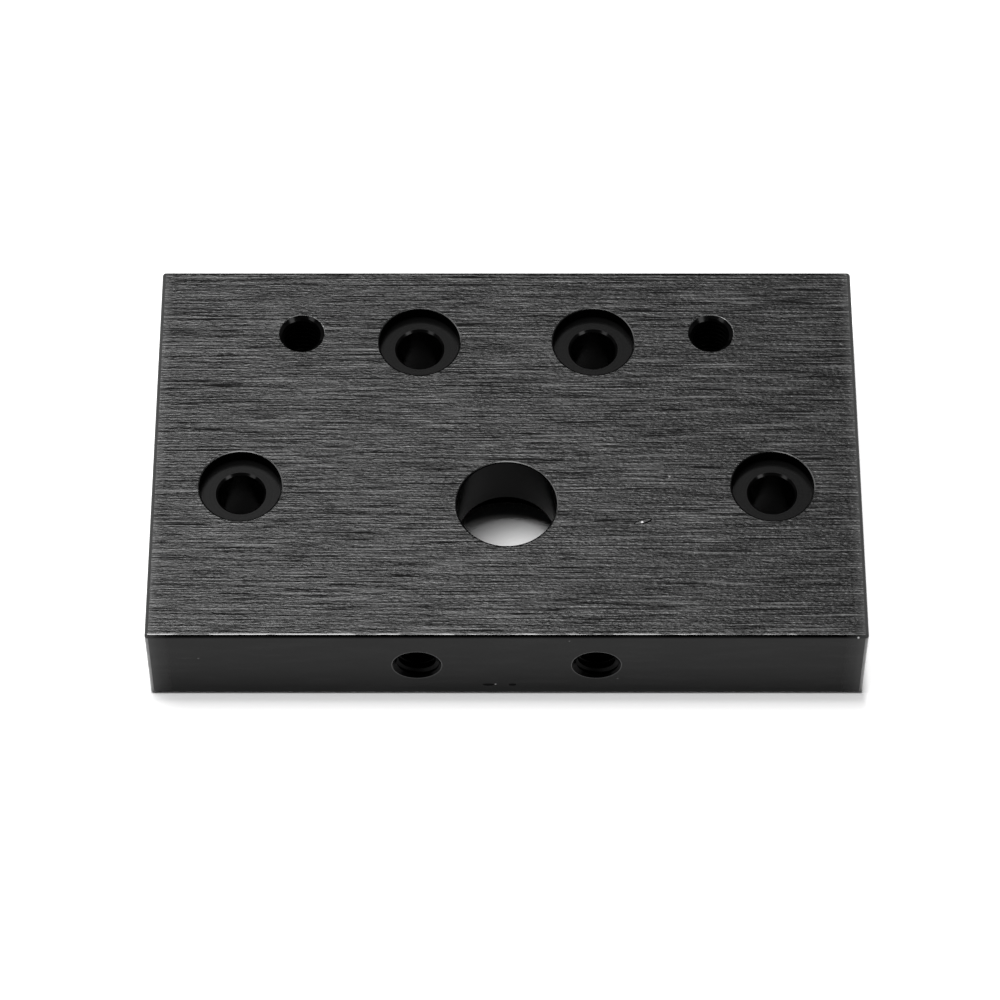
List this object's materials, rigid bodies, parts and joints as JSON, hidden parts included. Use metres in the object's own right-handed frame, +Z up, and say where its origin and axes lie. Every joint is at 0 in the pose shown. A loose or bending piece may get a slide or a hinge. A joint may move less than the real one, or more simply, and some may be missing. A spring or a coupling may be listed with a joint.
{
  "type": "linear actuator end mount plate",
  "caption": "Flat rectangular end plate of a screw-driven linear actuator, with a stepped bearing bore, counterbored rail holes and threaded motor and edge holes.",
  "frame": {"origin": "on the axis of the screw, in the rail face, which is the lower one", "axes": "+Z up through the outer face along the screw; +X along the width of the plate; the edge with the two threaded holes is the front, towards -Y"},
  "size_m": [0.08, 0.05, 0.012],
  "materials": {
    "anodised_black": "black anodised, brushed across the width on the two large faces and satin on the edges"
  },
  "bodies": {
    "root": {"end_plate": "anodised_black"}
  },
  "joints": []
}
